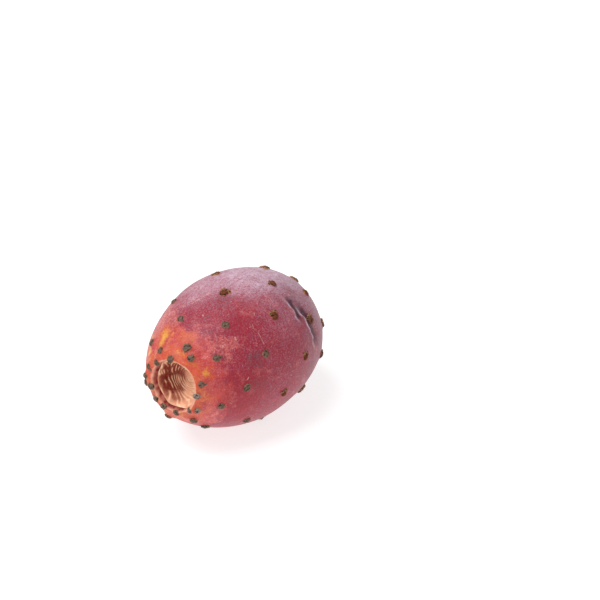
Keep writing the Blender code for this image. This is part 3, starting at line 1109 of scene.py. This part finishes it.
def skin_material(colours, body):
    finish = Finish("skin", colours.rose)
    broad = finish.noise(6 * MM, 4.0)
    middling = finish.noise(2.4 * MM, 6.0, 0.65)
    fine = finish.noise(1.1 * MM, 4.0, 0.7)
    grain = finish.noise(0.55 * MM, 2.0, 0.7)
    streaks = finish.noise(1.4 * MM, 3.0, 0.6, finish.stretched((0.0, 0.0, 0.3), (1.0, 0.18, 1.0)))
    blotches = finish.noise(3.6 * MM, 4.0, 0.6)

    finish.coat(finish.attribute("mauve"), colours.mauve)
    finish.coat(finish.spread(broad, 0.4, 0.62, 0.0, 0.3), colours.crimson)
    finish.coat(finish.patch("crimson", middling), colours.crimson)
    finish.coat(finish.patch("warm", middling, 0.9), colours.ember)
    finish.coat(finish.patch("salmon", middling, 0.85), colours.salmon)
    finish.coat(finish.spread(blotches, 0.52, 0.72, 0.0, 0.4), colours.dusk)
    finish.coat(finish.spread(blotches, 0.48, 0.28, 0.0, 0.35), colours.salmon)

    near_lip = finish.patch("near_lip", broad, 0.8)
    orange = finish.math("MAXIMUM", finish.patch("orange", middling), near_lip)
    finish.coat(orange, colours.orange)
    finish.coat(finish.patch("yellow", middling, 0.85), colours.yellow)
    lumps = finish.spread(finish.noise(2.6 * MM, 3.0), 0.42, 0.56)
    knobs = finish.mix(lumps, colours.lip, colours.orange)
    knobs = finish.mix(finish.spread(middling, 0.5, 0.7, 0.0, 0.6), knobs, colours.yellow)
    finish.coat(finish.times(finish.attribute("lip"), 0.7), knobs)

    smears = finish.math("ADD", finish.times(middling, 0.5), finish.times(streaks, 0.5))
    bloom = finish.times(finish.attribute("bloom"), finish.attribute("bloom"))
    bloom = finish.times(bloom, finish.spread(smears, 0.34, 0.62, 0.6, 1.0))
    dust = finish.times(bloom, finish.spread(fine, 0.32, 0.62, 0.75, 1.0))
    finish.coat(dust, colours.bloom)
    finish.coat(finish.patch("dusk", fine, 0.75), colours.dusk)

    bare = finish.math("MAXIMUM", orange, finish.attribute("crimson"))
    pale = finish.spread(fine, 0.48, 0.68, 0.0, 0.4)
    pale = finish.math("ADD", pale, finish.spread(grain, 0.5, 0.68, 0.0, 0.6))
    finish.coat(finish.times(pale, finish.spread(bare, 0.0, 0.9, 0.18, 0.06)), colours.bloom)
    flecks = finish.times(finish.spread(grain, 0.56, 0.36), finish.spread(dust, 0.0, 1.0, 0.7, 0.3))
    flecks = finish.times(flecks, finish.spread(finish.attribute("warm"), 0.0, 1.0, 1.0, 0.4))
    finish.coat(flecks, colours.crimson)

    # Painted shade: the creases' hollows darkened, more in some places than others
    crease_shade_amounts = finish.spread(middling, 0.3, 0.6, 0.55, 1.0)
    finish.coat(finish.times(finish.attribute("crease_hollow"), crease_shade_amounts), colours.hollow)
    # Painted highlight along the creases' edges
    edges = finish.spread(middling, 0.38, 0.58, 0.25, 1.0)
    finish.coat(finish.times(finish.attribute("crease_edge"), edges), colours.crease)
    dots = finish.times(finish.specks(1.3 * MM, 0.18 * MM), finish.spread(middling, 0.45, 0.6), 0.6)
    finish.coat(dots, colours.bloom)
    marks = finish.times(scratch_marks(finish, body), finish.spread(fine, 0.35, 0.6, 0.5, 1.0))
    finish.coat(marks, colours.scratch)

    halo = finish.times(finish.attribute("halo"), finish.spread(fine, 0.3, 0.7, 0.1, 0.5))
    finish.coat(halo, colours.crimson)
    finish.coat(finish.times(finish.attribute("rim"), 0.85), colours.rim)
    # The groove's dark red, partly painted shade in the groove
    finish.coat(finish.attribute("groove"), colours.groove)
    finish.set("Sheen Weight", 0.06)
    finish.set("Sheen Roughness", 0.45)
    finish.set("Subsurface Weight", 0.06)
    finish.set("Subsurface Radius", (1.0, 0.35, 0.25))
    finish.set("Subsurface Scale", 1.5 * MM)
    height = finish.math("ADD", finish.times(fine, 0.65), finish.times(grain, 0.35))
    finish.bump(height, 0.16 * MM, 0.8)
    return finish.done(finish.spread(dust, 0.0, 1.0, 0.45, 0.66), 0.34)


def lining_material(colours):
    finish = Finish("crater_lining", colours.tissue_shade)
    streak = finish.noise(0.6 * MM, 4.0, 0.65)
    patch = finish.noise(2.5 * MM, 3.0)
    wet = finish.attribute("wet")
    ridge = finish.attribute("ridge")
    rise = finish.math("ADD", finish.times(ridge, 0.7), finish.times(streak, 0.5))
    pale = finish.mix(finish.spread(patch, 0.35, 0.65), colours.tissue, colours.tissue_floor)
    # Painted shade: the lining's side away from the key light is darkened, and darker still between
    # its ridges there
    dark = finish.mix(finish.spread(streak, 0.42, 0.66), colours.shaded_tissue_gap, colours.shaded_tissue_brown)
    finish.coat(wet, dark)
    finish.coat(finish.spread(rise, 0.25, 0.8), pale)
    finish.coat(finish.times(wet, finish.spread(ridge, 0.35, 0.85, 0.85, 0.1)), dark)
    finish.bump(streak, 0.12 * MM, 0.8)
    return finish.done(finish.spread(streak, 0.3, 0.7, 0.6, 0.85), 0.3)


def scar_material(colours):
    finish = Finish("scar_pad", colours.rust)
    crust = finish.noise(0.7 * MM, 5.0, 0.65)
    patch = finish.noise(2.2 * MM, 3.0)
    rise = finish.math("ADD", finish.times(finish.attribute("rings"), 0.15), finish.times(crust, 0.9))
    pale = finish.mix(finish.spread(patch, 0.35, 0.65, 0.0, 0.45), colours.scar, colours.tissue)
    finish.coat(finish.spread(rise, 0.35, 0.7), pale)
    finish.bump(crust, 0.2 * MM, 0.8)
    return finish.done(finish.spread(crust, 0.3, 0.7, 0.65, 0.9), 0.25)


def felt_material(colours):
    finish = Finish("areole_felt", colours.felt)
    grit = finish.noise(0.22 * MM, 4.0, 0.7)
    patch = finish.noise(0.7 * MM, 2.0)
    finish.coat(finish.attribute("rust"), colours.rust)
    finish.coat(finish.times(finish.attribute("pale"), 0.85), colours.felt_edge)
    finish.coat(finish.times(finish.attribute("dead"), 0.8), colours.dead_felt)
    felt = finish.shade
    # Painted highlight on the lumps' crests and painted shade between the lumps, in random spots
    lit = finish.math("ADD", finish.times(finish.attribute("crest"), 0.6), finish.times(grit, 0.5))
    deep = finish.mix(finish.spread(patch, 0.35, 0.65), colours.felt_shade_between_lumps, felt)
    finish.shade = finish.mix(finish.spread(lit, 0.46, 0.76), deep, felt)
    finish.bump(grit, 0.15 * MM, 1.0)
    return finish.done(finish.spread(grit, 0.3, 0.7, 0.75, 0.95), 0.2)


def bristle_material(colours):
    finish = Finish("bristles", colours.felt)
    finish.coat(finish.noise(0.5 * MM, 1.0), colours.bristle)
    finish.coat(finish.times(finish.attribute("rust"), 0.7), colours.rust)
    finish.coat(finish.times(finish.attribute("tip"), 0.45), colours.felt_edge)
    return finish.done(finish.spread(finish.noise(0.3 * MM, 1.0), 0.3, 0.7, 0.4, 0.6))


def floor_material(shade):
    finish = Finish("floor", shade)
    grain = finish.noise(20 * MM, 2.0)
    finish.coat(finish.times(grain, 0.02), WHITE)
    finish.set("Emission Color", WHITE)
    finish.set("Emission Strength", FLOOR_GLOW)
    return finish.done(finish.spread(grain, 0.3, 0.7, 0.75, 0.85), 0.1)


def facing(azimuth, elevation):
    """The direction from the fruit out to a place seen at an azimuth and an elevation."""
    level = cos(elevation)
    return Vector((sin(azimuth) * level, -cos(azimuth) * level, sin(elevation)))


def looking_from(place, target):
    """The placing of a camera or light that looks at a target, level with the floor."""
    turn = (target - place).to_track_quat("-Z", "Y").to_matrix().to_4x4()
    return Matrix.Translation(place) @ turn


def make_stage(scene):
    stage = scene.fruit_stage
    work = bmesh.new()
    bmesh.ops.create_grid(work, x_segments=8, y_segments=8, size=FLOOR_HALF_SIDE)
    floor = add_object("floor", mesh_of("floor", work))
    floor.data.materials.append(floor_material(stage.floor))

    for name, azimuth, elevation, away, size, power in LIGHTS:
        lamp = bpy.data.lights.new(name, "AREA")
        lamp.size = size
        lamp.energy = power
        place = MIDDLE + facing(radians(azimuth), radians(elevation)) * away
        add_object(name, lamp).matrix_world = looking_from(place, MIDDLE)

    world = bpy.data.worlds.new("studio")
    world.use_nodes = True
    sky = world.node_tree.nodes["Background"]
    sky.inputs["Color"].default_value = (*WHITE, 1.0)
    sky.inputs["Strength"].default_value = SKY_STRENGTH
    scene.world = world

    back = facing(stage.azimuth, stage.elevation)
    right = Vector((cos(stage.azimuth), sin(stage.azimuth), 0.0))
    target = MIDDLE + right * stage.off_right + back.cross(right) * stage.off_up
    lens = bpy.data.cameras.new("camera")
    lens.lens = stage.lens
    lens.clip_start = 0.01
    scene.camera = add_object("camera", lens)
    scene.camera.matrix_world = looking_from(target + back * stage.distance, target)
    scene.view_settings.view_transform = "Standard"


class PRICKLY_PEAR_OT_skin(bpy.types.Operator):
    """Makes the skin with its lip, mounds and creases"""

    bl_idname = "prickly_pear.skin"
    bl_label = "Skin"
    bl_options = {"REGISTER", "UNDO"}

    def execute(self, context):
        make_skin(context.scene)
        return {"FINISHED"}


class PRICKLY_PEAR_OT_lining(bpy.types.Operator):
    """Makes the dry fibres in the crater and the dry pad over the scar"""

    bl_idname = "prickly_pear.dry_tissue"
    bl_label = "Dry Tissue"
    bl_options = {"REGISTER", "UNDO"}

    def execute(self, context):
        make_lining(context.scene)
        make_scar(context.scene)
        return {"FINISHED"}


class PRICKLY_PEAR_OT_areoles(bpy.types.Operator):
    """Makes the felt cushions of the areoles"""

    bl_idname = "prickly_pear.areoles"
    bl_label = "Areoles"
    bl_options = {"REGISTER", "UNDO"}

    def execute(self, context):
        make_felt(context.scene)
        return {"FINISHED"}


class PRICKLY_PEAR_OT_bristles(bpy.types.Operator):
    """Makes the bristles on the areoles"""

    bl_idname = "prickly_pear.bristles"
    bl_label = "Bristles"
    bl_options = {"REGISTER", "UNDO"}

    def execute(self, context):
        make_bristles(context.scene)
        return {"FINISHED"}


class PRICKLY_PEAR_OT_stage(bpy.types.Operator):
    """Makes the floor, the lights and the camera"""

    bl_idname = "prickly_pear.stage"
    bl_label = "Stage"
    bl_options = {"REGISTER", "UNDO"}

    def execute(self, context):
        make_stage(context.scene)
        return {"FINISHED"}


OPERATORS = (
    PRICKLY_PEAR_OT_skin,
    PRICKLY_PEAR_OT_lining,
    PRICKLY_PEAR_OT_areoles,
    PRICKLY_PEAR_OT_bristles,
    PRICKLY_PEAR_OT_stage,
)
SETTINGS = {
    "fruit_shape": FruitShape,
    "fruit_areoles": FruitAreoles,
    "fruit_colours": FruitColours,
    "fruit_stage": FruitStage,
}


class PRICKLY_PEAR_PT_panel(bpy.types.Panel):
    bl_label = "Prickly Pear Fruit"
    bl_idname = "PRICKLY_PEAR_PT_panel"
    bl_space_type = "VIEW_3D"
    bl_region_type = "UI"
    bl_category = "Prickly Pear"

    def draw(self, context):
        for operator in OPERATORS:
            self.layout.operator(operator.bl_idname)
        for name in SETTINGS:
            settings = getattr(context.scene, name)
            box = self.layout.box()
            for key in settings.__annotations__:
                box.prop(settings, key)


def register():
    for kept in (*SETTINGS.values(), *OPERATORS, PRICKLY_PEAR_PT_panel):
        bpy.utils.register_class(kept)
    for name, group in SETTINGS.items():
        setattr(bpy.types.Scene, name, PointerProperty(type=group))


def unregister():
    for name in SETTINGS:
        delattr(bpy.types.Scene, name)
    for kept in (PRICKLY_PEAR_PT_panel, *reversed(OPERATORS), *SETTINGS.values()):
        bpy.utils.unregister_class(kept)


def main():
    register()
    bpy.ops.prickly_pear.skin()
    bpy.ops.prickly_pear.dry_tissue()
    bpy.ops.prickly_pear.areoles()
    bpy.ops.prickly_pear.bristles()
    bpy.ops.prickly_pear.stage()
    bpy.context.view_layer.update()


if __name__ == "__main__":
    main()
